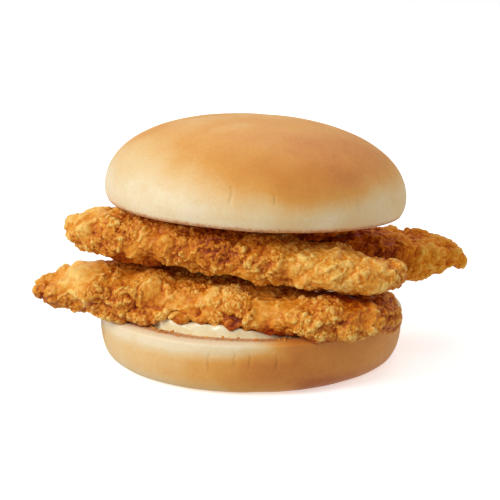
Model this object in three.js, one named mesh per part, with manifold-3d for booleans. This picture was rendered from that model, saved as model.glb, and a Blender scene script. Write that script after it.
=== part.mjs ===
// Chicken burger: a plain round bun, breaded chicken strips stacked two high, and mayonnaise.
// Millimetres, +Z up. The strips run along X and stick out at both sides of the bun.
// The origin is the centre of the flat base of the bun's heel, on which the burger stands.

import * as THREE from "three";
import { mergeVertices } from "three/addons/utils/BufferGeometryUtils.js";
import Module from "manifold-3d";

const wasm = await Module();
wasm.setup();

// Driving dimensions

const CONTACT_GAP = 0.3; // left between two pieces that rest on each other

const HEEL = {
  baseRadius: 40.8, // flat spot that the burger stands on
  radius: 51.2, // widest, at widestHeight
  widestHeight: 16.6,
  rimRadius: 46.0, // top of the shoulder
  rimHeight: 18.2,
  faceRadius: 43.6, // toasted cut face inside the rim
  faceHeight: 16.2,
  sidePower: 3.03, // how square the side's curve is
  shoulderPower: 2.2,
  seed: 5,
};

const CROWN = {
  radius: 50.4,
  domeHeight: 25.1, // above the widest ring
  skirtHeight: 5.0, // below the widest ring
  rimRadius: 48.8,
  faceRadius: 46.6, // toasted cut face
  faceHollow: 0.6, // how far that face is hollowed
  faceBevel: 0.4, // height of the toasted edge
  domePower: 2.17, // how square the dome's curve is
  skirtPower: 1.5,
  seed: 7,
  centre: [1.4, 0, 56.4], // of the widest ring
  roll: 3.2, // degrees, right side down
  pitch: -1.4, // degrees, front raised
};

const BUN_SIDES = 40;
const BUN_UNEVENNESS = 0.35; // how far the baked skin swells and sinks
const BUN_SWELL_LENGTH = 26;

const MAYONNAISE = {
  radius: 40.6, // mean radius of the spread
  thickness: 1.5,
  frontReach: 2.6, // how much further it is squeezed out at the front
  beadHeight: 1.6, // extra height of the squeezed bead along the front edge
  beadWidth: 7,
  crestInset: 2.45, // from the edge in to the bead's crest
  beadSpread: 3.5, // how far from the crest the bead has sunk away
  lobeDepth: 1.1, // how far the edge's lobes reach out
  lobeLength: 7,
  sides: 44,
  seed: 71,
};

// Each strip is given by stations from its left tip to its right tip:
// [x, y, z of the middle, half its width, half its thickness].
const STRIPS = {
  strip_lower_front: {
    seed: 11,
    rings: 58,
    sides: 24,
    stations: [
      [-71.6, -12.0, 25.4, 3.4, 3.0],
      [-61.5, -13.6, 27.0, 8.6, 6.2],
      [-46.0, -17.0, 27.0, 12.8, 8.4],
      [-22.0, -23.0, 26.0, 13.2, 7.8],
      [4.0, -33.4, 24.5, 13.0, 6.6],
      [29.0, -38.0, 23.4, 12.0, 7.0],
      [47.0, -33.0, 21.4, 6.2, 4.8],
    ],
  },
  strip_lower_rear: {
    seed: 231,
    rings: 54,
    sides: 21,
    stations: [
      [-44.0, 13.5, 25.4, 8.0, 5.6],
      [-30.0, 11.5, 25.8, 12.6, 8.4],
      [-2.0, 11.5, 26.2, 13.8, 8.9],
      [26.0, 17.0, 27.4, 14.0, 9.6],
      [48.0, 23.5, 29.0, 13.6, 10.4],
      [64.0, 25.6, 28.2, 11.2, 7.6],
      [76.0, 26.0, 27.1, 4.2, 3.4],
    ],
  },
  strip_upper_front: {
    seed: 246,
    rings: 58,
    sides: 24,
    stations: [
      [-59.8, -13.6, 46.2, 5.2, 3.8],
      [-49.5, -15.4, 45.8, 10.4, 7.0],
      [-36.0, -18.0, 45.6, 13.2, 8.6],
      [-14.0, -25.2, 44.2, 13.2, 8.7],
      [10.0, -34.6, 41.0, 13.2, 7.9],
      [31.0, -38.4, 38.0, 11.9, 7.2],
      [47.4, -35.6, 35.9, 6.8, 4.9],
    ],
  },
  strip_upper_rear: {
    seed: 53,
    rings: 34,
    sides: 15,
    stations: [
      [-43.0, 12.0, 43.8, 7.0, 5.4],
      [-28.0, 13.0, 43.6, 12.6, 8.6],
      [-4.0, 14.6, 43.6, 13.6, 8.2],
      [20.0, 16.4, 43.6, 12.8, 7.2],
      [37.0, 17.6, 43.8, 6.6, 4.8],
    ],
  },
};

const SECTION_POWER = 2.3; // 2 would be an ellipse, more is boxier
const TIP_POWER = 6; // how blunt the rounded tips are

const LUMP_LENGTH = 12; // broad lumps of the meat under the breading
const LUMP_HEIGHT = 1.5;
const NODULE_LENGTH = 6.4; // craggy nodules of the breading
const NODULE_HEIGHT = 2.6;
const NODULE_REACH = 0.8; // radius of a nodule as a share of that length
const SMOOTH_PATCH_LENGTH = 17; // patches where the batter is smoother
const SMOOTH_PATCH_SHARE = 0.45; // nodule height that is left there
const SMOOTH_PATCH_FROM = 0.27; // noise value below which a patch is wholly smooth
const SMOOTH_PATCH_TO = 0.6; // and above which it is wholly craggy
const MEAN_RELIEF = 0.7; // taken off, so that the stations stay the mean surface

// Seeded noise

function hash(i, j, k, seed) {
  let h = Math.imul(i, 374761393) ^ Math.imul(j, 668265263);
  h ^= Math.imul(k, 2147483647) ^ Math.imul(seed, 40503);
  h = Math.imul(h ^ (h >>> 13), 1274126177);
  h = Math.imul(h ^ (h >>> 16), 2246822519);
  return ((h ^ (h >>> 15)) >>> 0) / 4294967296;
}

// Rises smoothly from 0 at `from` to 1 at `to`.
function smoothStep(value, from = 0, to = 1) {
  const t = Math.min(1, Math.max(0, (value - from) / (to - from)));
  return t * t * (3 - 2 * t);
}

// Smooth noise from 0 to 1 with features about `length` across.
function valueNoise(point, length, seed) {
  const scaled = point.clone().divideScalar(length);
  const cell = scaled.clone().floor();
  const part = scaled.sub(cell);
  let sum = 0;
  for (const corner of cubeCorners()) {
    const [i, j, k] = corner;
    const weightX = i ? smoothStep(part.x) : 1 - smoothStep(part.x);
    const weightY = j ? smoothStep(part.y) : 1 - smoothStep(part.y);
    const weightZ = k ? smoothStep(part.z) : 1 - smoothStep(part.z);
    sum += weightX * weightY * weightZ * hash(cell.x + i, cell.y + j, cell.z + k, seed);
  }
  return sum;
}

function* cubeCorners() {
  for (let i = 0; i < 2; i++) {
    for (let j = 0; j < 2; j++) {
      for (let k = 0; k < 2; k++) {
        yield [i, j, k];
      }
    }
  }
}

// Rounded bumps, one about each random point of a grid: 1 at a bump's top, 0 between bumps.
function noduleNoise(point, length, seed) {
  const scaled = point.clone().divideScalar(length);
  const cell = scaled.clone().floor();
  let nearest = Infinity;
  for (let i = -1; i < 2; i++) {
    for (let j = -1; j < 2; j++) {
      for (let k = -1; k < 2; k++) {
        const x = cell.x + i;
        const y = cell.y + j;
        const z = cell.z + k;
        const seedPoint = new THREE.Vector3(
          x + hash(x, y, z, seed),
          y + hash(x, y, z, seed + 1),
          z + hash(x, y, z, seed + 2),
        );
        nearest = Math.min(nearest, seedPoint.distanceTo(scaled));
      }
    }
  }
  return Math.max(0, 1 - (nearest / NODULE_REACH) ** 2);
}

// Geometry helpers

// Leaves only positions, with the vertices of the seam and the poles shared.
function weld(geometry) {
  geometry.deleteAttribute("normal");
  geometry.deleteAttribute("uv");
  return mergeVertices(geometry, 1e-4);
}

// Calls move(point, normal) for each vertex of a welded geometry and keeps the point it changed.
function reshape(geometry, move) {
  geometry.computeVertexNormals();
  const position = geometry.attributes.position;
  const normals = geometry.attributes.normal;
  const point = new THREE.Vector3();
  const normal = new THREE.Vector3();
  for (let i = 0; i < position.count; i++) {
    point.fromBufferAttribute(position, i);
    normal.fromBufferAttribute(normals, i);
    move(point, normal);
    position.setXYZ(i, point.x, point.y, point.z);
  }
  geometry.deleteAttribute("normal");
  return geometry;
}

function toSolid(geometry) {
  const mesh = new wasm.Mesh({
    numProp: 3,
    vertProperties: new Float32Array(geometry.attributes.position.array),
    triVerts: new Uint32Array(geometry.index.array),
  });
  return new wasm.Manifold(mesh);
}

// The largest body of a solid: scraps that a cut leaves are dropped.
function largestBody(solid) {
  const bodies = solid.decompose();
  return bodies.reduce((best, body) => (body.volume() > best.volume() ? body : best));
}

function toGeometry(solid) {
  const mesh = solid.getMesh();
  const geometry = new THREE.BufferGeometry();
  geometry.setAttribute("position", new THREE.BufferAttribute(new Float32Array(mesh.vertProperties), 3));
  geometry.setIndex(new THREE.BufferAttribute(new Uint32Array(mesh.triVerts), 1));
  geometry.computeVertexNormals();
  return geometry;
}

function cut(geometry, cutters) {
  let solid = toSolid(geometry);
  for (const cutter of cutters) {
    solid = solid.subtract(toSolid(cutter));
  }
  return toGeometry(largestBody(solid));
}

// A quarter of a superellipse from one profile point to another, as [radius, height] pairs
// without its first point. It leaves upright where `upright` is "first" and arrives upright
// where it is "last".
function quarterArc([r0, z0], [r1, z1], power, steps, upright) {
  const points = [];
  for (let i = 1; i <= steps; i++) {
    const angle = (i / steps) * (Math.PI / 2);
    const rising = Math.sin(angle) ** (2 / power);
    const falling = 1 - Math.cos(angle) ** (2 / power);
    const alongR = upright === "last" ? rising : falling;
    const alongZ = upright === "last" ? falling : rising;
    points.push([r0 + (r1 - r0) * alongR, z0 + (z1 - z0) * alongZ]);
  }
  return points;
}

// A closed solid of revolution about Z from [radius, height] pairs that run from axis to axis.
function turnedSolid(profile, sides) {
  const outline = profile.map(([radius, height]) => new THREE.Vector2(radius, height));
  const turned = new THREE.LatheGeometry(outline, sides);
  turned.rotateX(Math.PI / 2);
  return weld(turned);
}

// One half of the bun, with the slight unevenness of its baked skin.
function bakedRound(profile, seed) {
  return reshape(turnedSolid(profile, BUN_SIDES), (point, normal) => {
    const swell = valueNoise(point, BUN_SWELL_LENGTH, seed) - 0.5;
    const sideShare = 1 - Math.abs(normal.z) ** 4;
    point.addScaledVector(normal, 2 * BUN_UNEVENNESS * swell * sideShare);
  });
}

// Bun

function heelGeometry(grow = 0) {
  const base = [HEEL.baseRadius, 0];
  const widest = [HEEL.radius + grow, HEEL.widestHeight];
  const rim = [HEEL.rimRadius, HEEL.rimHeight + grow];
  const face = [HEEL.faceRadius, HEEL.faceHeight + grow];
  const profile = [
    [0, 0],
    base,
    ...quarterArc(base, widest, HEEL.sidePower, 6, "last"),
    ...quarterArc(widest, rim, HEEL.shoulderPower, 3, "first"),
    face,
    [0, HEEL.faceHeight + grow],
  ];
  return bakedRound(profile, HEEL.seed);
}

function crownGeometry() {
  const face = [CROWN.faceRadius, -CROWN.skirtHeight];
  const rim = [CROWN.rimRadius, CROWN.faceBevel - CROWN.skirtHeight];
  const widest = [CROWN.radius, 0];
  const top = [0, CROWN.domeHeight];
  const profile = [
    [0, CROWN.faceHollow - CROWN.skirtHeight],
    face,
    rim,
    ...quarterArc(rim, widest, CROWN.skirtPower, 2, "last"),
    ...quarterArc(widest, top, CROWN.domePower, 9, "first"),
  ];
  return bakedRound(profile, CROWN.seed);
}

// Chicken strips

// Height of the breading over the mean surface.
function breadingRelief(point, seed) {
  const lump = valueNoise(point, LUMP_LENGTH, seed) - 0.5;
  const patch = valueNoise(point, SMOOTH_PATCH_LENGTH, seed + 3);
  const rough = smoothStep(patch, SMOOTH_PATCH_FROM, SMOOTH_PATCH_TO);
  const nodule = noduleNoise(point, NODULE_LENGTH, seed + 5);
  const share = SMOOTH_PATCH_SHARE + (1 - SMOOTH_PATCH_SHARE) * rough;
  return 2 * LUMP_HEIGHT * lump + NODULE_HEIGHT * share * nodule - MEAN_RELIEF;
}

function stripGeometry(strip, grow = 0) {
  const middles = strip.stations.map(([x, y, z]) => new THREE.Vector3(x, y, z));
  const halves = strip.stations.map(([, , , width, thickness]) => new THREE.Vector3(width, thickness, 0));
  const spine = new THREE.CatmullRomCurve3(middles, false, "catmullrom", 0.5);
  const girth = new THREE.CatmullRomCurve3(halves, false, "catmullrom", 0.5);
  const ball = weld(new THREE.SphereGeometry(1, strip.sides, strip.rings));
  const swept = reshape(ball, (point) => {
    const along = Math.acos(Math.min(1, Math.max(-1, -point.y))) / Math.PI;
    const around = Math.atan2(point.z, point.x);
    const tip = (1 - Math.abs(2 * along - 1) ** TIP_POWER) ** (1 / TIP_POWER);
    const half = girth.getPoint(along).multiplyScalar(tip);
    const forward = spine.getTangent(along);
    const side = new THREE.Vector3(forward.y, -forward.x, 0).normalize();
    const up = new THREE.Vector3().crossVectors(side, forward);
    const outSide = Math.sign(Math.cos(around)) * Math.abs(Math.cos(around)) ** (2 / SECTION_POWER);
    const outUp = Math.sign(Math.sin(around)) * Math.abs(Math.sin(around)) ** (2 / SECTION_POWER);
    point.copy(spine.getPoint(along));
    point.addScaledVector(side, half.x * outSide);
    point.addScaledVector(up, half.y * outUp);
  });
  return reshape(swept, (point, normal) => {
    point.addScaledVector(normal, grow + breadingRelief(point, strip.seed));
  });
}

// Mayonnaise

function mayonnaiseGeometry() {
  const base = HEEL.faceHeight + CONTACT_GAP;
  const top = base + MAYONNAISE.thickness;
  const edge = [MAYONNAISE.radius, base];
  const crest = [MAYONNAISE.radius - MAYONNAISE.crestInset, top];
  const profile = [
    [0, base],
    edge,
    ...quarterArc(edge, crest, 2, 3, "first"),
    [MAYONNAISE.radius - MAYONNAISE.beadWidth, top],
    [0, top],
  ];
  const spread = turnedSolid(profile, MAYONNAISE.sides);
  return reshape(spread, (point) => {
    const radius = Math.hypot(point.x, point.y);
    const frontness = radius > 0 ? -point.y / radius : 0;
    const front = smoothStep(frontness, 0.3, 0.95);
    const flat = new THREE.Vector3(point.x, point.y, 0);
    const lobe = 2 * valueNoise(flat, MAYONNAISE.lobeLength, MAYONNAISE.seed) - 1;
    const reach = (MAYONNAISE.frontReach * front + MAYONNAISE.lobeDepth * lobe) / MAYONNAISE.radius;
    const fromCrest = (radius - crest[0]) / MAYONNAISE.beadSpread;
    const bead = MAYONNAISE.beadHeight * front * Math.exp(-fromCrest * fromCrest);
    const heightShare = (point.z - base) / MAYONNAISE.thickness;
    point.x *= 1 + reach;
    point.y *= 1 + reach;
    point.z += heightShare * bead * (0.8 + 0.3 * lobe);
  });
}

// Assembly

function material(color, roughness) {
  return new THREE.MeshStandardMaterial({ color, roughness, metalness: 0 });
}

const crust = material("#d9a566", 0.62);
const breading = material("#c8862f", 0.58);
const sauce = material("#f3ead2", 0.3);

function piece(name, geometry, finish) {
  const mesh = new THREE.Mesh(geometry, finish.clone());
  mesh.name = name;
  return mesh;
}

const lowerFront = STRIPS.strip_lower_front;
const lowerRear = STRIPS.strip_lower_rear;
const upperFront = STRIPS.strip_upper_front;
const upperRear = STRIPS.strip_upper_rear;

const burger = new THREE.Group();
burger.name = "chicken_burger";

// The heel, the mayonnaise on it and the layer of strips pressed into that
const lower = new THREE.Group();
const heelCutter = heelGeometry(CONTACT_GAP);
const lowerFrontCutter = stripGeometry(lowerFront, CONTACT_GAP);
const lowerRearCutter = stripGeometry(lowerRear, CONTACT_GAP);
lower.add(piece("bun_heel", heelGeometry(), crust));
lower.add(piece("mayonnaise", cut(mayonnaiseGeometry(), [lowerFrontCutter, lowerRearCutter]), sauce));
lower.add(piece("strip_lower_front", cut(stripGeometry(lowerFront), [heelCutter]), breading));
lower.add(piece("strip_lower_rear", cut(stripGeometry(lowerRear), [heelCutter, lowerFrontCutter]), breading));
burger.add(lower);

// The layer of strips that lies on the lower one
const upper = new THREE.Group();
const upperFrontCutter = stripGeometry(upperFront, CONTACT_GAP);
const upperRearCutter = stripGeometry(upperRear, CONTACT_GAP);
const upperFrontBody = cut(stripGeometry(upperFront), [lowerFrontCutter, lowerRearCutter]);
const upperRearBody = cut(stripGeometry(upperRear), [lowerFrontCutter, lowerRearCutter, upperFrontCutter]);
upper.add(piece("strip_upper_front", upperFrontBody, breading));
upper.add(piece("strip_upper_rear", upperRearBody, breading));
burger.add(upper);

// The crown, tilted on the strips and pressed in by them from below
const crown = piece("bun_crown", crownGeometry(), crust);
crown.position.set(...CROWN.centre);
crown.rotation.set(THREE.MathUtils.degToRad(CROWN.pitch), THREE.MathUtils.degToRad(CROWN.roll), 0, "YXZ");
crown.updateMatrix();
const intoCrown = crown.matrix.clone().invert();
crown.geometry = cut(crown.geometry, [
  upperFrontCutter.applyMatrix4(intoCrown),
  upperRearCutter.applyMatrix4(intoCrown),
]);
burger.add(crown);

export default burger;
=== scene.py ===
"""The looks of a chicken burger: a plain bun, craggy breaded chicken strips and mayonnaise.

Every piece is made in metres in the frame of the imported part, with +Z up and the origin at the
centre of the flat base of the bun's heel. Sizes are written in millimetres times MM.
"""

import logging
import math
import random
from dataclasses import dataclass, field
from enum import Enum

import bmesh
import bpy
import numpy as np
from mathutils import Matrix, Vector, noise
from mathutils.bvhtree import BVHTree


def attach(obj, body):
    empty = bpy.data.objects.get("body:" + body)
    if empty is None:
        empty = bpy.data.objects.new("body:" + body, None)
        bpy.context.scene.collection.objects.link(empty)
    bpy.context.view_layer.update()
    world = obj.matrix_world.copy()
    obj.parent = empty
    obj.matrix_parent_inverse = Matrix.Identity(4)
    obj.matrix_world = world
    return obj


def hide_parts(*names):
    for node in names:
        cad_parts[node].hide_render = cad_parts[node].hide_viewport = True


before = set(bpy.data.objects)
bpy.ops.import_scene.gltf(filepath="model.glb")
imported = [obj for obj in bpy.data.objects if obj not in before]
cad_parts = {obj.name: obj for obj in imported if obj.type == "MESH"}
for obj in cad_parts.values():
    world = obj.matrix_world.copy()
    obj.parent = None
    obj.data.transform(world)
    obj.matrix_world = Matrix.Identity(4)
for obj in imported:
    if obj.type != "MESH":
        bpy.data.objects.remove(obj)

LOG = logging.getLogger("chicken_burger")
MM = 0.001
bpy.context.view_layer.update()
BODY = "root"
NOISE_SEED = 7  # Blender seeds its noise vectors from the clock unless a script does.
CONTACT_REACH = 4.0 * MM

Colour = tuple[float, float, float, float]
Value = object


class Slot(Enum):
    """The record's material slots."""

    CRUST = "bun_crust"
    BREADING = "breading"
    SAUCE = "mayonnaise"


class Arc(Enum):
    """Which end of a quarter arc stands upright."""

    UPRIGHT_FIRST = "first"
    UPRIGHT_LAST = "last"


def tone(red: int, green: int, blue: int) -> Colour:
    """Turns a display colour into a linear one.

    Args:
        red: Red from 0 to 255.
        green: Green from 0 to 255.
        blue: Blue from 0 to 255.

    Returns:
        The linear colour with full alpha.
    """
    linear = []
    for part in (red, green, blue):
        share = part / 255
        linear.append(share / 12.92 if share <= 0.04045 else ((share + 0.055) / 1.055) ** 2.4)
    return (*linear, 1.0)


def eased(values: np.ndarray, low: float, high: float | np.ndarray) -> np.ndarray:
    """Rises smoothly from 0 at low to 1 at high, for many values at once.

    Args:
        values: The values to judge.
        low: Where the rise starts.
        high: Where it ends, one number or one for each value.

    Returns:
        Numbers from 0 to 1.
    """
    share = np.clip((values - low) / (high - low), 0, 1)
    return share * share * (3 - 2 * share)


# Meshes


def new_object(name: str, shape: bmesh.types.BMesh) -> bpy.types.Object:
    """Makes a scene object of a bmesh and frees the bmesh.

    Args:
        name: The object's name.
        shape: Its shape, in the row frame.

    Returns:
        The object, at the origin.
    """
    mesh = bpy.data.meshes.new(name)
    shape.to_mesh(mesh)
    shape.free()
    made = bpy.data.objects.new(name, mesh)
    bpy.context.scene.collection.objects.link(made)
    return made


def merged_copy(node: str) -> bmesh.types.BMesh:
    """Copies a CAD node's mesh with its loose triangles joined.

    Args:
        node: The node's name.

    Returns:
        The copy, one closed skin.
    """
    shape = bmesh.new()
    shape.from_mesh(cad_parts[node].data)
    bmesh.ops.remove_doubles(shape, verts=shape.verts, dist=0.001 * MM)
    return shape


def settle(piece: bpy.types.Object) -> None:
    """Applies a piece's modifiers to its mesh.

    Args:
        piece: The object, whose mesh is replaced.
    """
    bpy.context.view_layer.update()
    evaluated = piece.evaluated_get(bpy.context.evaluated_depsgraph_get())
    finished = bpy.data.meshes.new_from_object(evaluated)
    piece.modifiers.clear()
    spent = piece.data
    piece.data = finished
    bpy.data.meshes.remove(spent)
    finished.name = piece.name


def remesh(piece: bpy.types.Object, voxel: float, smoothing: int, factor: float = 0.5) -> None:
    """Joins a piece's overlapping shells into one even skin and softens it.

    Args:
        piece: The object to work on.
        voxel: Edge length of the new skin.
        smoothing: Rounds of smoothing.
        factor: How far each round moves a vertex.
    """
    skin = piece.modifiers.new("skin", "REMESH")
    skin.mode = "VOXEL"
    skin.voxel_size = voxel
    soften = piece.modifiers.new("soften", "SMOOTH")
    soften.factor = factor
    soften.iterations = smoothing
    settle(piece)


def read_points(mesh: bpy.types.Mesh) -> tuple[np.ndarray, np.ndarray]:
    """Reads the vertices of a mesh.

    Args:
        mesh: The mesh to read.

    Returns:
        The places and the normals, one row a vertex.
    """
    places = np.empty(len(mesh.vertices) * 3)
    mesh.vertices.foreach_get("co", places)
    normals = np.empty(len(mesh.vertices) * 3)
    mesh.vertex_normals.foreach_get("vector", normals)
    return places.reshape(-1, 3), normals.reshape(-1, 3)


def write_points(mesh: bpy.types.Mesh, places: np.ndarray) -> None:
    """Moves the vertices of a mesh to new places."""
    mesh.vertices.foreach_set("co", places.ravel())
    mesh.update()


def write_attribute(mesh: bpy.types.Mesh, name: str, values: np.ndarray) -> None:
    """Keeps one number for each vertex, for the piece's material to read."""
    kept = mesh.attributes.new(name, "FLOAT", "POINT")
    kept.data.foreach_set("value", values.astype(np.float32))


def hashed(cells: np.ndarray, seed: int) -> np.ndarray:
    """Draws a repeatable number from 0 to 1 for each cell of a grid.

    Args:
        cells: Whole numbers, one row of three a cell.
        seed: Which of many draws is wanted.

    Returns:
        One number for each row.
    """
    mixed = cells @ np.array([12.9898, 78.233, 37.719]) + seed * 4.1414
    return np.mod(np.sin(mixed) * 43758.5453, 1.0)


def crumb_heights(spots: np.ndarray, size: float, seed: int) -> np.ndarray:
    """Finds how high round crumbs of random sizes stand at each spot.

    Args:
        spots: Places in millimetres, one row a vertex.
        size: The grid's width; a crumb's radius is 0.42 to 0.84 of it.
        seed: Which of many arrangements is wanted.

    Returns:
        The heights in grid widths.
    """
    home = np.floor(spots / size)
    best = np.zeros(len(spots))
    for shift in np.ndindex(3, 3, 3):
        cell = home + np.array(shift) - 1
        jitter = np.stack([hashed(cell, seed + k) for k in (1, 2, 3)], axis=1)
        centre = (cell + 0.1 + 0.8 * jitter) * size
        radius = 0.42 + 0.42 * hashed(cell, seed + 4)
        inside = 1 - ((spots - centre) ** 2).sum(axis=1) / (radius * size) ** 2
        best = np.maximum(best, radius * np.sqrt(np.maximum(inside, 0)))
    return best


def add_balls(shape: bmesh.types.BMesh, matrices: list[Matrix]) -> None:
    """Adds a batch of stretched balls to a shape.

    Args:
        shape: The bmesh to add to.
        matrices: Each ball's place, turn and half sizes.
    """
    batch = bmesh.new()
    for matrix in matrices:
        bmesh.ops.create_icosphere(batch, subdivisions=2, radius=1, matrix=matrix)
    balls = bpy.data.meshes.new("balls")
    batch.to_mesh(balls)
    batch.free()
    shape.from_mesh(balls)
    bpy.data.meshes.remove(balls)


class Neighbours:
    """Averages values over the edges of a mesh."""

    def __init__(self, mesh: bpy.types.Mesh) -> None:
        """Reads the mesh's edges.

        Args:
            mesh: The mesh to average over.
        """
        ends = np.empty(len(mesh.edges) * 2, dtype=np.int64)
        mesh.edges.foreach_get("vertices", ends)
        self.first, self.second = ends.reshape(-1, 2).T
        self.total = len(mesh.vertices)
        self.count = np.maximum(1, self._gather(np.ones(self.total)))

    def _gather(self, values: np.ndarray) -> np.ndarray:
        """Sums the neighbours' values for each vertex."""
        there = np.bincount(self.first, values[self.second], self.total)
        return there + np.bincount(self.second, values[self.first], self.total)

    def blurred(self, values: np.ndarray, rounds: int) -> np.ndarray:
        """Blurs values along the surface.

        Args:
            values: One number or one row of numbers for each vertex.
            rounds: How many times each vertex takes half of its neighbours' mean.

        Returns:
            The blurred values, in the same layout.
        """
        columns = values.reshape(self.total, -1).T
        blurred = []
        for column in columns:
            for _ in range(rounds):
                column = 0.5 * column + 0.5 * self._gather(column) / self.count
            blurred.append(column)
        return np.array(blurred).T.reshape(values.shape)


# Materials


class Graph:
    """A material's node tree, with short calls for the nodes that the finishes use."""

    def __init__(self, name: str) -> None:
        """Starts a material with a Principled shader.

        Args:
            name: The material's name.
        """
        self.material = bpy.data.materials.new(name)
        self.material.use_nodes = True
        self.tree = self.material.node_tree
        self.shader = self.tree.nodes["Principled BSDF"]
        self.place = self.tree.nodes.new("ShaderNodeTexCoord").outputs["Object"]

    def node(self, kind: str, inputs: dict[str | int, Value], **settings: Value) -> bpy.types.Node:
        """Adds a node.

        Args:
            kind: Blender's name for the node's type.
            inputs: Its sockets' values, or the sockets to link to them.
            **settings: The node's own settings.

        Returns:
            The node.
        """
        made = self.tree.nodes.new(kind)
        for name, value in settings.items():
            setattr(made, name, value)
        for name, value in inputs.items():
            if isinstance(value, bpy.types.NodeSocket):
                self.tree.links.new(value, made.inputs[name])
            else:
                made.inputs[name].default_value = value
        return made

    def noise(
        self, size: float, detail: float = 3.0, roughness: float = 0.55, distortion: float = 0.0
    ) -> Value:
        """Makes noise in the row frame.

        Args:
            size: Width of its features, in metres.
            detail: How many finer layers it has.
            roughness: How strong those layers are.
            distortion: How far its pattern is twisted.

        Returns:
            The socket of the noise, about 0.5 in the mean.
        """
        inputs = {
            "Vector": self.place,
            "Scale": 1 / size,
            "Detail": detail,
            "Roughness": roughness,
            "Distortion": distortion,
        }
        return self.node("ShaderNodeTexNoise", inputs).outputs["Fac"]

    def cells(
        self, size: float, feature: str = "F1", smoothness: float = 1.0, twist: float = 0.0
    ) -> Value:
        """Makes a pattern of cells and returns the distance socket.

        Args:
            size: Width of a cell, in metres.
            feature: Which distance is measured.
            smoothness: How soft a smooth pattern is.
            twist: How far noise shifts the pattern, in metres.

        Returns:
            The distance from the cell's point, in cell widths.
        """
        place = self.twisted(size * 1.7, twist) if twist else self.place
        inputs = {"Vector": place, "Scale": 1 / size}
        if feature == "SMOOTH_F1":
            inputs["Smoothness"] = smoothness
        return self.node("ShaderNodeTexVoronoi", inputs, feature=feature).outputs["Distance"]

    def twisted(self, size: float, amount: float) -> Value:
        """Shifts the place by noise.

        Args:
            size: Width of the noise's features, in metres.
            amount: The widest shift, from one side to the other, in metres.

        Returns:
            The socket of the shifted place.
        """
        pattern = {"Vector": self.place, "Scale": 1 / size, "Detail": 2.0}
        wander = self.node("ShaderNodeTexNoise", pattern)
        inputs = {0: wander.outputs["Color"], 1: (amount,) * 3, 2: self.place}
        return self.node("ShaderNodeVectorMath", inputs, operation="MULTIPLY_ADD").outputs[0]

    def math(self, operation: str, first: Value, second: Value = 0.0) -> Value:
        """Does one sum on two sockets or numbers and returns the result's socket."""
        return self.node("ShaderNodeMath", {0: first, 1: second}, operation=operation).outputs[0]

    def span(
        self, value: Value, low: float, high: float, start: float = 0.0, end: float = 1.0
    ) -> Value:
        """Maps a value smoothly from one range to another.

        Args:
            value: The socket to map.
            low: Where the rise starts.
            high: Where the rise ends.
            start: The result below low.
            end: The result above high.

        Returns:
            The mapped socket.
        """
        limits = {"From Min": low, "From Max": high, "To Min": start, "To Max": end}
        inputs = {"Value": value, **limits}
        mapped = self.node("ShaderNodeMapRange", inputs, interpolation_type="SMOOTHSTEP")
        return mapped.outputs["Result"]

    def ramp(self, value: Value, stops: tuple[tuple[float, Colour], ...]) -> Value:
        """Turns a value into a colour.

        Args:
            value: The socket to read.
            stops: Places from 0 to 1 with their colours, in order.

        Returns:
            The colour's socket.
        """
        made = self.node("ShaderNodeValToRGB", {"Fac": value})
        elements = made.color_ramp.elements
        while len(elements) < len(stops):
            elements.new(0.5)
        for element, (position, colour) in zip(elements, stops):
            element.position = position
            element.color = colour
        return made.outputs["Color"]

    def mix(self, share: Value, first: Value, second: Value) -> Value:
        """Mixes two colours.

        Args:
            share: How much of the second colour is taken, from 0 to 1.
            first: The first colour or its socket.
            second: The second colour or its socket.

        Returns:
            The socket of the mixed colour.
        """
        inputs = {"Factor": share, "A": first, "B": second}
        made = self.tree.nodes.new("ShaderNodeMix")
        made.data_type = "RGBA"
        for socket in made.inputs:
            wanted = socket.type == "RGBA" or (socket.name == "Factor" and socket.type == "VALUE")
            if not wanted or not socket.enabled:
                continue
            value = inputs[socket.name]
            if isinstance(value, bpy.types.NodeSocket):
                self.tree.links.new(value, socket)
            else:
                socket.default_value = value
        return next(s for s in made.outputs if s.type == "RGBA" and s.enabled)

    def attribute(self, name: str) -> Value:
        """Reads a number that the piece keeps for each vertex."""
        return self.node("ShaderNodeAttribute", {}, attribute_name=name).outputs["Fac"]

    def axis(self, name: str) -> Value:
        """Reads one coordinate of the place, in metres."""
        return self.node("ShaderNodeSeparateXYZ", {0: self.place}).outputs[name]

    def bump(
        self, height: Value, depth: float, strength: float = 1.0, under: Value | None = None
    ) -> Value:
        """Turns heights into a bent normal.

        Args:
            height: The socket of the heights, in units of depth.
            depth: What a height of 1 stands for, in metres.
            strength: How much of the effect is used.
            under: The normal of a coarser bump below this one.

        Returns:
            The normal's socket.
        """
        inputs = {"Height": height, "Distance": depth, "Strength": strength}
        if under is not None:
            inputs["Normal"] = under
        return self.node("ShaderNodeBump", inputs).outputs["Normal"]

    def surface(self, **inputs: Value) -> bpy.types.Material:
        """Sets the shader's sockets and returns the material.

        Args:
            **inputs: Socket names with underscores for spaces, and values or sockets.

        Returns:
            The finished material.
        """
        for name, value in inputs.items():
            socket = self.shader.inputs[name.replace("_", " ")]
            if isinstance(value, bpy.types.NodeSocket):
                self.tree.links.new(value, socket)
            else:
                socket.default_value = value
        return self.material


@dataclass(frozen=True)
class Crease:
    """A short upright wrinkle in the bun's skin."""

    degrees: float
    low: float
    high: float
    half_width: float = 0.3


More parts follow.
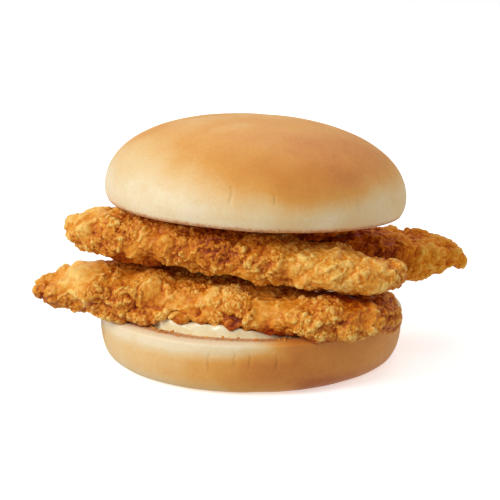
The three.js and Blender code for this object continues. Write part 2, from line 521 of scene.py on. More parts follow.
@dataclass(frozen=True)
class CrustFinish:
    """Baked bun skin from cream to golden tan, with the crumb of the cut face and painted shade in
    its wrinkles and crumb holes.
    """

    creases: tuple[Crease, ...] = (
        Crease(-14.8, 8.0, 15.5),
        Crease(-5.9, 9.0, 15.8),
        Crease(-0.7, 9.5, 15.6),
        Crease(9.5, 8.5, 15.0),
        Crease(-6.9, 60.5, 67.5, 0.4),
        Crease(8.9, 60.5, 65.0, 0.25),
        Crease(40.2, 56.0, 62.0, 0.35),
        Crease(-152.0, 7.0, 14.0),
        Crease(121.0, 9.0, 15.0),
        Crease(163.0, 61.0, 67.0, 0.4),
    )
    flour: Colour = tone(242, 222, 184)
    cream: Colour = tone(236, 208, 158)
    straw: Colour = tone(234, 190, 124)
    golden: Colour = tone(226, 160, 74)
    tan: Colour = tone(212, 134, 54)
    deep: Colour = tone(184, 100, 34)
    crumb: Colour = tone(240, 216, 168)
    toasted: Colour = tone(198, 124, 54)
    scorched: Colour = tone(158, 88, 36)
    blush: Colour = tone(216, 152, 100)

    def build(self, name: str) -> bpy.types.Material:
        """Makes the material, which reads the attributes bake_and_shading, face and edge of its
        piece.

        Args:
            name: The material's name.

        Returns:
            The finished material.
        """
        graph = Graph(name)
        cloud = graph.noise(16 * MM, 3.0, 0.5)
        fleck = graph.noise(1.1 * MM, 4.0, 0.7)
        speck = graph.noise(0.45 * MM, 2.0, 0.6)
        # Browning, with painted sheen and shade, from the piece's attribute.
        bake_and_shading = graph.attribute("bake_and_shading")
        shifted = graph.math("ADD", bake_and_shading, graph.span(cloud, 0.3, 0.7, -0.09, 0.09))
        flecked = graph.math("ADD", shifted, graph.span(fleck, 0.35, 0.65, -0.035, 0.035))
        stops = (
            (0.0, self.flour),
            (0.096, self.cream),
            (0.304, self.straw),
            (0.528, self.golden),
            (0.8, self.tan),
            (1.0, self.deep),
        )
        skin = graph.ramp(graph.math("MULTIPLY", flecked, 0.8), stops)
        pore = graph.span(speck, 0.3, 0.42, 1.0, 0.0)
        skin = graph.mix(graph.math("MULTIPLY", pore, 0.12), skin, self.toasted)

        # The crumb's holes are darker in their middles: painted shade in the pits.
        hole = graph.cells(1.9 * MM, "SMOOTH_F1", 0.4)
        crumb_tone = graph.ramp(hole, ((0.15, self.toasted), (0.5, self.crumb)))
        browning = graph.span(graph.noise(5 * MM, 4.0, 0.65), 0.42, 0.62)
        crumb_tone = graph.mix(graph.math("MULTIPLY", browning, 0.75), crumb_tone, self.toasted)
        face = graph.attribute("face")
        colour = graph.mix(face, skin, crumb_tone)

        edge = graph.attribute("edge")
        fray = graph.span(graph.noise(1.3 * MM, 4.0, 0.7), 0.25, 0.75, -0.55, 0.55)
        worn = graph.span(graph.math("ADD", edge, fray), 0.55, 0.95)
        rim_tone = graph.ramp(graph.noise(3 * MM), ((0.35, self.scorched), (0.55, self.toasted)))
        colour = graph.mix(graph.math("MULTIPLY", edge, 0.6), colour, self.blush)
        colour = graph.mix(graph.math("MULTIPLY", worn, 0.65), colour, rim_tone)

        # The wrinkles turn a little darker: painted shade in the creases.
        crease = self.crease_mask(graph)
        colour = graph.mix(graph.math("MULTIPLY", crease, 0.1), colour, self.toasted)

        dimple = graph.noise(7 * MM, 2.0, 0.5)
        wrinkle = graph.noise(1.6 * MM, 3.0, 0.6)
        normal = graph.bump(dimple, 0.5 * MM, 0.5)
        normal = graph.bump(wrinkle, 0.08 * MM, 0.5, normal)
        pits = graph.math("MULTIPLY", graph.span(hole, 0.1, 0.55), face)
        normal = graph.bump(pits, 0.7 * MM, 0.9, normal)
        normal = graph.bump(graph.math("SUBTRACT", 1.0, crease), 0.22 * MM, 0.7, normal)
        rough = graph.span(fleck, 0.3, 0.7, 0.46, 0.58)
        return graph.surface(
            Base_Color=colour,
            Roughness=rough,
            Normal=normal,
            Specular_IOR_Level=0.36,
            Subsurface_Weight=0.12,
            Subsurface_Radius=(1.0, 0.55, 0.3),
            Subsurface_Scale=1.6 * MM,
        )

    def crease_mask(self, graph: Graph) -> Value:
        """Makes the wrinkles' mask.

        Args:
            graph: The material's graph.

        Returns:
            A socket that is 1 in a wrinkle and 0 elsewhere.
        """
        across = graph.axis("X")
        away = graph.math("MULTIPLY", graph.axis("Y"), -1.0)
        angle = graph.math("ARCTAN2", across, away)
        wobble = graph.span(graph.noise(9 * MM, 2.0), 0.3, 0.7, -0.012, 0.012)
        angle = graph.math("ADD", angle, wobble)
        height = graph.axis("Z")
        mask = None
        for crease in self.creases:
            offset = graph.math("SUBTRACT", angle, math.radians(crease.degrees))
            width = crease.half_width / 50
            line = graph.span(graph.math("ABSOLUTE", offset), 0.0, width * 3.2, 1.0, 0.0)
            middle = (crease.low + crease.high) / 2 * MM
            reach = (crease.high - crease.low) / 2 * MM
            along = graph.math("ABSOLUTE", graph.math("SUBTRACT", height, middle))
            line = graph.math("MULTIPLY", line, graph.span(along, reach * 0.4, reach, 1.0, 0.0))
            mask = line if mask is None else graph.math("MAXIMUM", mask, line)
        return mask


@dataclass(frozen=True)
class BreadingFinish:
    """Fried breading with a trace of oil: golden tops and orange-brown crevices, partly its own
    tone and partly painted highlight on the crags and painted shade in the crevices.
    """

    crevice: Colour = tone(122, 40, 2)
    deep: Colour = tone(170, 74, 8)
    amber: Colour = tone(210, 118, 22)
    gold: Colour = tone(230, 152, 46)
    pale: Colour = tone(248, 202, 108)
    # Deep red-brown painted shade where another strip or the bun comes close.
    contact_shade: Colour = tone(160, 36, 2)
    scorched: Colour = tone(168, 78, 18)
    gloss: float = 0.2

    def build(self, name: str) -> bpy.types.Material:
        """Makes the material, which reads crag, lump, batter, tint_and_shade and near of its piece.

        Args:
            name: The material's name.

        Returns:
            The finished material.
        """
        graph = Graph(name)
        crag = graph.attribute("crag")
        lump = graph.attribute("lump")
        batter = graph.attribute("batter")
        drift = graph.noise(9 * MM, 3.0, 0.6)
        fleck = graph.noise(0.7 * MM, 3.0, 0.65)
        tint_and_shade = graph.attribute("tint_and_shade")
        # Raised crags and lumps turn paler and crevices darker: painted highlight and painted shade
        # of the relief. Drift, fleck and batter are the breading's own tone.
        height = graph.math("MULTIPLY", crag, 0.15)
        height = graph.math("ADD", height, graph.math("MULTIPLY", lump, 0.13))
        height = graph.math("ADD", height, graph.span(drift, 0.3, 0.7, 0.53, 0.7))
        height = graph.math("ADD", height, graph.span(fleck, 0.3, 0.7, -0.07, 0.07))
        height = graph.math("ADD", height, graph.math("MULTIPLY", batter, 0.06))
        height = graph.math("ADD", height, graph.math("MULTIPLY", tint_and_shade, 0.4))
        loose = graph.span(batter, 0.2, 0.75, 1.0, 0.0)
        small = graph.span(graph.cells(0.95 * MM, twist=0.7 * MM), 0.12, 0.72, 1.0, 0.0)
        large = graph.span(graph.cells(1.9 * MM, twist=1.4 * MM), 0.12, 0.72, 1.0, 0.0)
        crumbs = graph.math("MULTIPLY", small, 0.55)
        crumbs = graph.math("ADD", crumbs, graph.math("MULTIPLY", large, 0.45))
        crumbs = graph.math("MULTIPLY", crumbs, loose)
        # Crumb middles paler and the gaps between crumbs darker: painted highlight and painted
        # shade.
        shade = graph.math("MULTIPLY", graph.math("SUBTRACT", crumbs, 0.55), loose)
        height = graph.math("ADD", height, graph.math("MULTIPLY", shade, 0.28))
        stops = (
            (0.08, self.crevice),
            (0.3, self.deep),
            (0.52, self.amber),
            (0.72, self.gold),
            (0.98, self.pale),
        )
        colour = graph.ramp(height, stops)
        burnt = graph.span(graph.noise(4.5 * MM, 4.0, 0.7, 0.6), 0.6, 0.74)
        colour = graph.mix(graph.math("MULTIPLY", burnt, 0.35), colour, self.scorched)
        # Painted shade between the parts: spots near another strip or the bun turn deep red-brown,
        # less where the patches are painted pale.
        lit = graph.math("MULTIPLY", graph.math("MAXIMUM", tint_and_shade, 0.0), 0.9)
        near = graph.math("SUBTRACT", graph.attribute("near"), lit)
        contact_shade = graph.span(near, 0.08, 0.85, 0.0, 0.8)
        colour = graph.mix(contact_shade, colour, self.contact_shade)
        grain = graph.noise(0.4 * MM, 3.0, 0.7)
        normal = graph.bump(crumbs, 0.6 * MM, 0.8)
        normal = graph.bump(grain, 0.1 * MM, 0.4, normal)
        rough = graph.span(graph.noise(2.4 * MM), 0.35, 0.7, 0.36, 0.6)
        return graph.surface(
            Base_Color=colour,
            Roughness=rough,
            Normal=normal,
            Specular_IOR_Level=self.gloss,
            Coat_Weight=self.gloss / 4,
            Coat_Roughness=0.25,
            Subsurface_Weight=0.05,
            Subsurface_Radius=(1.0, 0.4, 0.1),
            Subsurface_Scale=0.5 * MM,
        )


@dataclass(frozen=True)
class SauceFinish:
    """Glossy cream-white mayonnaise."""

    cream: Colour = tone(249, 238, 201)
    shade: Colour = tone(242, 226, 179)

    def build(self, name: str) -> bpy.types.Material:
        """Makes the material.

        Args:
            name: The material's name.

        Returns:
            The finished material.
        """
        graph = Graph(name)
        colour = graph.mix(graph.span(graph.noise(4 * MM), 0.35, 0.65), self.cream, self.shade)
        normal = graph.bump(graph.noise(2.5 * MM, 2.0), 0.25 * MM, 0.5)
        rough = graph.span(graph.noise(1.5 * MM), 0.3, 0.7, 0.24, 0.36)
        return graph.surface(
            Base_Color=colour,
            Roughness=rough,
            Normal=normal,
            Specular_IOR_Level=0.5,
            Coat_Weight=0.25,
            Coat_Roughness=0.1,
            Subsurface_Weight=0.12,
            Subsurface_Radius=(1.0, 0.8, 0.5),
            Subsurface_Scale=0.5 * MM,
        )


@dataclass(frozen=True)
class FloorFinish:
    """A plain white table top, bright enough to show white."""

    white: Colour = tone(250, 250, 250)
    glow: float = 0.5

    def build(self, name: str) -> bpy.types.Material:
        """Makes the material.

        Args:
            name: The material's name.

        Returns:
            The finished material.
        """
        graph = Graph(name)
        dull = graph.span(graph.noise(300 * MM), 0.3, 0.7, 0.85, 0.9)
        return graph.surface(
            Base_Color=self.white,
            Roughness=dull,
            Specular_IOR_Level=0.1,
            Emission_Color=self.white,
            Emission_Strength=self.glow,
        )


# Pieces


def place_piece(
    piece: bpy.types.Object, material: bpy.types.Material, slot: Slot, *nodes: str
) -> None:
    """Dresses a finished piece and ties it to the frame.

    Args:
        piece: The object, its mesh final.
        material: Its finish.
        slot: The record's slot of that finish; not used.
        *nodes: The CAD nodes that it stands for.
    """
    piece.data.materials.clear()
    piece.data.materials.append(material)
    piece.data.shade_smooth()
    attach(piece, BODY)
    if nodes:
        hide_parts(*nodes)
    triangles = sum(len(polygon.vertices) - 2 for polygon in piece.data.polygons)
    LOG.info("%s: %d triangles", piece.name, triangles)


@dataclass(frozen=True)
class Nodules:
    """Beads of breading of one size range, fused to a strip."""

    count: int
    smallest: float
    largest: float
    sunk: float = 0.35


@dataclass(frozen=True)
class Knob:
    """A single lump that shows on a strip, in millimetres."""

    centre: tuple[float, float, float]
    half_sizes: tuple[float, float, float]


@dataclass(frozen=True)
class Patch:
    """A spot where the breading differs, in millimetres.

    Its craggy share draws the breading towards smooth batter (0 or less) or crumbs (1), its
    tint_and_shade makes it paler (above 0) or darker (below 0), as the breading's own tone in some
    patches, as painted shade where the crown and the other strips shade it and as painted light
    where a gap lets light in, and its height lifts or sinks the skin.
    """

    centre: tuple[float, float, float]
    radius: float
    craggy: float
    tint_and_shade: float = 0.0
    height: float = 0.0

    def weights(self, spots: np.ndarray) -> np.ndarray:
        """Gives the patch's share at each spot, 1 in its middle and 0 far off."""
        away = ((spots - np.array(self.centre)) ** 2).sum(axis=1) / self.radius**2
        return np.exp(-(away**1.5))


@dataclass(frozen=True)
class CrumbLayer:
    """Round crumbs of one size all over the breading, in millimetres.

    The smooth share is how much of them stays where the breading is smooth batter. Bend and curl
    are how far wide and narrow noise shift them from their grid.
    """

    height: float
    width: float
    smooth_share: float
    seed_step: int
    bend: float
    curl: float


def shade_contacts(
    strips: list[bpy.types.Object], buns: list[bpy.types.Object], reach: float
) -> None:
    """Keeps, on each strip, how close the next strip or bun half comes to each spot, for the
    painted shade between the parts.

    Args:
        strips: The strips, which get the attribute near.
        buns: The halves of the bun.
        reach: The distance at which near falls to 0.
    """
    depsgraph = bpy.context.evaluated_depsgraph_get()
    trees = {piece.name: BVHTree.FromObject(piece, depsgraph) for piece in strips + buns}
    for strip in strips:
        places, _ = read_points(strip.data)
        others = [tree for name, tree in trees.items() if name != strip.name]
        near = []
        for place in places:
            spot = Vector(place)
            gaps = [tree.find_nearest(spot, reach)[3] for tree in others]
            near.append(sum((1 - gap / reach) for gap in gaps if gap is not None))
        near = Neighbours(strip.data).blurred(np.minimum(1.0, near), 4)
        # Less painted shade towards the left, the key light's side.
        near *= 1 - 0.55 * eased(-places[:, 0], 24 * MM, 44 * MM)
        write_attribute(strip.data, "near", near)


@dataclass
class ChickenStrip:
    """A breaded chicken strip, with fine crags over the form of its CAD node."""

    node: str
    seed: int
    voxel: float = 0.34 * MM
    base_voxel: float = 0.7 * MM
    shrink: float = 0.55 * MM
    sizes: tuple[Nodules, ...] = (
        Nodules(90, 1.3 * MM, 2.4 * MM, 0.7),
        Nodules(300, 0.7 * MM, 1.2 * MM, 0.55),
        Nodules(500, 0.45 * MM, 0.65 * MM, 0.3),
    )
    knobs: tuple[Knob, ...] = ()
    patches: tuple[Patch, ...] = ()
    layers: tuple[CrumbLayer, ...] = (
        CrumbLayer(1.5, 4.8, 0.45, 0, 1.1, 0.3),
        CrumbLayer(1.0, 2.4, 0.15, 50, 1.1, 0.3),
        CrumbLayer(0.56, 1.15, 0.3, 90, 0.0, 0.35),
    )
    folds: float = 0.65
    fold_degrees: float = 38.0
    fold_length: float = 15.0
    fold_width: float = 3.6
    fold_depth: float = 9.0
    mean_height: float = 0.63
    batch: int = 60
    draws: random.Random = field(init=False)
    offset: Vector = field(init=False)

    def __post_init__(self) -> None:
        """Seeds the strip's own random draws."""
        self.draws = random.Random(self.seed)
        self.offset = Vector((self.seed * 7.31, self.seed * 3.17, self.seed * 1.93))

    def build(self, finish: bpy.types.Material) -> bpy.types.Object:
        """Makes the strip.

        Args:
            finish: The breading's material.

        Returns:
            The finished object.
        """
        piece = new_object(f"{self.node}_breaded", merged_copy(self.node))
        remesh(piece, self.base_voxel, 10)
        self.add_nodules(piece)
        remesh(piece, self.voxel, 2, 0.4)
        self.roughen(piece.data)
        self.measure_relief(piece.data)
        place_piece(piece, finish, Slot.BREADING, self.node)
        return piece

    def add_nodules(self, piece: bpy.types.Object) -> None:
        """Sets beads and knobs of breading into the strip's smooth skin.

        Args:
            piece: The strip, whose mesh gets them as overlapping shells.
        """
        places, normals = read_points(piece.data)
        places -= normals * self.shrink
        write_points(piece.data, places)
        shape = bmesh.new()
        shape.from_mesh(piece.data)
        matrices = []
        craggy = self.craggy(places / MM)
        for beads in self.sizes:
            wanted = len(matrices) + beads.count
            while len(matrices) < wanted:
                index = self.draws.randrange(len(places))
                if craggy[index] > self.draws.random():
                    place, normal = Vector(places[index]), Vector(normals[index])
                    matrices.append(self.bead(place, normal, beads))
        for knob in self.knobs:
            sizes = Matrix.Diagonal((*(size * MM for size in knob.half_sizes), 1))
            matrices.append(Matrix.Translation(Vector(knob.centre) * MM) @ sizes)
        for start in range(0, len(matrices), self.batch):
            add_balls(shape, matrices[start : start + self.batch])
        shape.to_mesh(piece.data)
        shape.free()

    def bead(self, place: Vector, normal: Vector, beads: Nodules) -> Matrix:
        """Finds one bead's form, flattened along the normal and stretched at random across it.

        Args:
            place: The spot on the skin, in metres.
            normal: The skin's direction there.
            beads: The range that the bead's size is drawn from.

        Returns:
            The bead's place, turn and half sizes.
        """
        radius = self.draws.uniform(beads.smallest, beads.largest)
        stretch = (
            self.draws.uniform(0.8, 1.35),
            self.draws.uniform(0.7, 1.1),
            self.draws.uniform(0.55, 0.9),
        )
        turn = normal.to_track_quat("Z", "Y").to_matrix().to_4x4()
        spin = Matrix.Rotation(self.draws.uniform(0, math.tau), 4, "Z")
        centre = place - normal * radius * beads.sunk * stretch[2]
        sizes = Matrix.Diagonal((*(radius * share for share in stretch), 1))
        return Matrix.Translation(centre) @ turn @ spin @ sizes

    def craggy(self, spots: np.ndarray) -> np.ndarray:
        """Finds how craggy the breading is.

        Args:
            spots: Places in millimetres, one row a vertex.

        Returns:
            A number for each spot: 0 is smooth batter, 1 is crumbs, and below 0 it is calmer yet.
        """
        drift = []
        for spot in spots:
            wide = noise.noise(Vector(spot) / 9 + self.offset)
            drift.append(wide + 0.35 * noise.noise(Vector(spot) / 3 - self.offset))
        craggy = eased(np.array(drift), -0.34, 0.08)
        for patch in self.patches:
            craggy += (patch.craggy - craggy) * patch.weights(spots)
        return craggy

    def relief(self, spots: np.ndarray) -> tuple[np.ndarray, np.ndarray]:
        """Finds the height of the fine crags at each spot.

        Args:
            spots: Places in millimetres, one row a vertex.

        Returns:
            The heights in millimetres, and the craggy share of the breading at each spot.
        """
        craggy = self.craggy(spots)
        bend = np.array([noise.noise_vector(Vector(spot) / 2.7) for spot in spots])
        curl = np.array([noise.noise_vector(Vector(spot) / 1.1) for spot in spots])
        height = np.zeros(len(spots))
        for layer in self.layers:
            bent = spots + layer.bend * bend + layer.curl * curl
            share = np.maximum(0, layer.smooth_share + (1 - layer.smooth_share) * craggy)
            crumbs = crumb_heights(bent, layer.width, self.seed + layer.seed_step)
            height += layer.height * crumbs * share
        widest = self.layers[0]
        bent = spots + widest.bend * bend + widest.curl * curl
        height += self.folds * self.fold_heights(bent) * (1 - 0.4 * np.abs(craggy))
        for patch in self.patches:
            height += patch.height * patch.weights(spots)
        return height - self.mean_height, craggy

    def fold_heights(self, spots: np.ndarray) -> np.ndarray:
        """Finds the slanting folds of the batter.

        Args:
            spots: Places in millimetres, one row a vertex.

        Returns:
            The heights, from -0.5 in a fold to 0.5 on a ridge.
        """
        slant = math.radians(self.fold_degrees)
        along = spots[:, 0] * math.cos(slant) + spots[:, 2] * math.sin(slant)
        across = spots[:, 2] * math.cos(slant) - spots[:, 0] * math.sin(slant)
        sizes = (self.fold_length, self.fold_width, self.fold_depth)
        stretched = np.stack([along, across, spots[:, 1]], axis=1) / np.array(sizes)
        waves = [noise.noise(Vector(spot) + self.offset) for spot in stretched]
        return 0.5 - np.minimum(1, 3 * np.abs(np.array(waves)))

    def roughen(self, mesh: bpy.types.Mesh) -> None:
        """Moves the skin by the fine relief and keeps where the batter is smooth and its tint, with
        painted shade and light.

        Args:
            mesh: The strip's mesh.
        """
        places, normals = read_points(mesh)
        heights, craggy = self.relief(places / MM)
        write_points(mesh, places + normals * (heights * MM)[:, None])
        write_attribute(mesh, "batter", np.clip(1 - craggy, 0, 1))
        tint_and_shade = sum(patch.tint_and_shade * patch.weights(places / MM) for patch in self.patches)
        write_attribute(mesh, "tint_and_shade", tint_and_shade + np.zeros(len(places)))

    def measure_relief(self, mesh: bpy.types.Mesh) -> None:
        """Keeps how far each spot stands over or under its surroundings, near and wide, for the
        painted highlight on crags and painted shade in crevices.

        Args:
            mesh: The strip's mesh.
        """
        around = Neighbours(mesh)
        places, normals = read_points(mesh)
        near = around.blurred(places, 8)
        wide = around.blurred(near, 70)
        smooth_normals = around.blurred(normals, 10)
        smooth_normals /= np.linalg.norm(smooth_normals, axis=1)[:, None]
        crag = np.einsum("ij,ij->i", places - near, smooth_normals)
        lump = np.einsum("ij,ij->i", near - wide, smooth_normals)
        write_attribute(mesh, "crag", np.clip(crag / (0.16 * MM), -1.6, 1.6))
        write_attribute(mesh, "lump", np.clip(lump / (0.5 * MM), -1.6, 1.6))


def quarter_arc(
    start: tuple[float, float], end: tuple[float, float], power: float, steps: int, kind: Arc
) -> list[tuple[float, float]]:
    """Follows a quarter of a superellipse between two profile points.

    Args:
        start: Radius and height where it starts.
        end: Radius and height where it ends.
        power: How square the curve is; 2 is an ellipse.
        steps: How many points it has after the start.
        kind: Which end stands upright.

    Returns:
        The points after the start.
    """
    points = []
    for step in range(1, steps + 1):
        angle = step / steps * math.pi / 2
        rising = math.sin(angle) ** (2 / power)
        falling = 1 - math.cos(angle) ** (2 / power)
        along, up = (rising, falling) if kind is Arc.UPRIGHT_LAST else (falling, rising)
        points.append((start[0] + (end[0] - start[0]) * along, start[1] + (end[1] - start[1]) * up))
    return points


def straight(
    start: tuple[float, float], end: tuple[float, float], steps: int
) -> list[tuple[float, float]]:
    """Splits a straight stretch of a profile into steps, without its start."""
    shares = [step / steps for step in range(1, steps + 1)]
    return [tuple(a + (b - a) * share for a, b in zip(start, end)) for share in shares]


def turned(name: str, profile: list[tuple[float, float]], steps: int) -> bpy.types.Object:
    """Turns a profile about the Z axis into a closed piece.

    Args:
        name: The piece's name.
        profile: Radius and height in metres, from the axis back to the axis.
        steps: How many steps the turn has.

    Returns:
        The object, its faces pointing out.
    """
    shape = bmesh.new()
    points = [shape.verts.new((radius, 0, height)) for radius, height in profile]
    edges = [shape.edges.new(pair) for pair in zip(points, points[1:])]
    bmesh.ops.spin(
        shape, geom=points + edges, axis=(0, 0, 1), cent=(0, 0, 0),
        angle=math.tau, steps=steps, use_merge=True, use_duplicate=False,
    )
    bmesh.ops.remove_doubles(shape, verts=shape.verts, dist=0.0005 * MM)
    bmesh.ops.recalc_face_normals(shape, faces=shape.faces)
    return new_object(name, shape)


@dataclass(frozen=True)
class BakeSpot:
    """A soft spot on the front of the crown that is browner or paler, in millimetres."""

    strength: float
    across: float
    height: float
    width: float
    tallness: float

    def shares(self, across: np.ndarray, heights: np.ndarray) -> np.ndarray:
        """Finds what the spot adds to the browning.

        Args:
            across: How far right each place lies.
            heights: How high it lies over the crown's widest line.

        Returns:
            One number for each place.
        """
        sideways = (across - self.across) ** 2 / self.width
        upwards = (heights - self.height) ** 2 / self.tallness
        return self.strength * np.exp(-(sideways + upwards))


@dataclass
class BunHalf:
    """What both halves of the bun share: an uneven skin turned from a profile."""

    node: str
    seed: int
    turns: int = 288
    swell: float = 0.35
    pits: float = 0.28

    def profile(self) -> list[tuple[float, float]]:
        """Gives the half's profile from its cut face round to its far side."""
        raise NotImplementedError

    def uneven(self, mesh: bpy.types.Mesh) -> None:
        """Gives the skin its slight swells, and the cut face its open crumb.

        Args:
            mesh: The half's mesh, still level.
        """
        places, normals = read_points(mesh)
        face = self.face_share(places)
        moved = []
        for place, normal, open_crumb in zip(places / MM, normals, face):
            spot = Vector(place)
            swell = self.swell * noise.noise(spot / 22 + Vector((self.seed, 0, 0)))
            dimple = 0.09 * noise.noise(spot / 6.5 + Vector((0, self.seed, 0)))
            height = (swell + dimple) * (1 - abs(normal[2]) ** 6 * open_crumb)
            if open_crumb > 0.5:
                pit = self.pits * max(0.0, noise.noise(spot / 1.3))
                height -= pit + 0.1 * noise.noise(spot / 4)
            moved.append(height)
        write_points(mesh, places + normals * (np.array(moved) * MM)[:, None])

    def face_share(self, places: np.ndarray) -> np.ndarray:
        """Gives 1 on the cut face and 0 on the skin."""
        raise NotImplementedError


@dataclass
class BunCrown(BunHalf):
    """The domed top half of the bun, tilted on the strips."""

    radius: float = 50.4 * MM
    dome_height: float = 25.1 * MM
    skirt_height: float = 5.0 * MM
    rim_radius: float = 48.8 * MM
    face_radius: float = 46.9 * MM
    face_bevel: float = 0.5 * MM
    face_hollow: float = 0.6 * MM
    dome_power: float = 2.17
    skirt_power: float = 1.5
    centre: tuple[float, float, float] = (1.4, 0.0, 56.4)
    roll: float = math.radians(3.2)
    pitch: float = math.radians(-1.4)
    clearance: float = 0.15 * MM
    bake_spots: tuple[BakeSpot, ...] = (
        BakeSpot(0.19, 22.0, 14.5, 440.0, 75.0),
        BakeSpot(0.1, -22.0, 17.0, 500.0, 40.0),
        BakeSpot(-0.08, -8.0, 14.5, 190.0, 36.0),
        BakeSpot(0.06, 1.0, 0.5, 120.0, 9.0),
    )

    def profile(self) -> list[tuple[float, float]]:
        """Follows the crown's outline.

        Returns:
            The profile, from the middle of its cut face to the top of its dome.
        """
        middle = (0.0, self.face_hollow - self.skirt_height)
        edge = (self.face_radius, -self.skirt_height)
        rim = (self.rim_radius, self.face_bevel - self.skirt_height)
        widest = (self.radius, 0.0)
        top = (0.0, self.dome_height)
        return [
            middle,
            *straight(middle, edge, 56),
            *quarter_arc(edge, rim, 1.7, 6, Arc.UPRIGHT_LAST),
            *quarter_arc(rim, widest, self.skirt_power, 10, Arc.UPRIGHT_LAST),
            *quarter_arc(widest, top, self.dome_power, 70, Arc.UPRIGHT_FIRST),
        ]

    def tilt(self) -> Matrix:
        """Gives the turn and shift from the crown's own frame to the row frame."""
        turn = Matrix.Rotation(self.roll, 4, "Y") @ Matrix.Rotation(self.pitch, 4, "X")
        return Matrix.Translation(Vector(self.centre) * MM) @ turn

    def face_share(self, places: np.ndarray) -> np.ndarray:
        """Finds the crown's cut face.

        Args:
            places: Places in metres in the crown's own frame, one row a vertex.

        Returns:
            For each place 1 on the cut face and 0 on the skin.
        """
        radii = np.hypot(places[:, 0], places[:, 1])
        low = places[:, 2] < -self.skirt_height + self.face_hollow + 0.3 * MM
        return np.where(low & (radii < self.face_radius + 0.4 * MM), 1.0, 0.0)

    def build(self, finish: bpy.types.Material, strips: list[bpy.types.Object]) -> bpy.types.Object:
        """Makes the crown and presses the strips into its underside.

        Args:
            finish: The bun's material.
            strips: The strips that carry it.

        Returns:
            The finished object.
        """
        piece = turned(f"{self.node}_baked", self.profile(), self.turns)
        self.paint(piece.data)
        self.uneven(piece.data)
        piece.data.transform(self.tilt())
        self.press(piece.data, strips)
        place_piece(piece, finish, Slot.CRUST, self.node)
        return piece

    def paint(self, mesh: bpy.types.Mesh) -> None:
        """Keeps how browned each spot is, with painted sheen, and where the cut face and its
        toasted edge are.

        Args:
            mesh: The half's mesh, still level.
        """
        places, _ = read_points(mesh)
        radii = np.hypot(places[:, 0], places[:, 1])
        x, y, heights = places.T / MM
        # Paler towards the left front, the key light's side: painted sheen of the key light
        # together with lighter browning.
        pale_side = eased(-x, -14, 38) * eased(-y, -30, 20)
        start = 4.0 * pale_side - 4.0 + 5.0 * eased(x, 18, 44)
        bake_and_shading = eased(heights - start, 0.0, 14.0 + 9.0 * pale_side) * (0.82 - 0.26 * pale_side)
        # The top turns paler: painted sheen.
        bake_and_shading = np.maximum(bake_and_shading * (1 - 0.2 * eased(heights, 20, 25)), 0.13 * (1 - pale_side))
        bake_and_shading += sum(spot.shares(x, heights) for spot in self.bake_spots) * eased(-y, 0, 20)
        write_attribute(mesh, "bake_and_shading", bake_and_shading)
        face = self.face_share(places)
        write_attribute(mesh, "face", face)
        from_edge = np.abs(radii - 0.5 * (self.face_radius + self.rim_radius)) / (1.3 * MM)
        under = np.clip(1.4 - from_edge, 0, 1) * (heights < 0.7 - self.skirt_height / MM)
        outside = 1 - eased(heights + self.skirt_height / MM, 0.5, 2.2)
        outside *= radii > self.rim_radius - 0.4 * MM
        write_attribute(mesh, "edge", np.maximum(under, outside))

    def press(self, mesh: bpy.types.Mesh, strips: list[bpy.types.Object]) -> None:
        """Raises the underside wherever a strip reaches into it.

        Args:
            mesh: The crown's mesh, in its place.
            strips: The strips below it.
        """
        places, normals = read_points(mesh)
        depsgraph = bpy.context.evaluated_depsgraph_get()
        trees = [BVHTree.FromObject(strip, depsgraph) for strip in strips]
        under = np.nonzero(normals[:, 2] < 0.2)[0]
        start = self.centre[2] * MM + self.dome_height
        for index in under:
            place = places[index]
            for tree in trees:
                top = tree.ray_cast(Vector((place[0], place[1], start)), Vector((0, 0, -1)))[0]
                if top is not None and top.z + self.clearance > place[2]:
                    place[2] = top.z + self.clearance
        write_points(mesh, places)


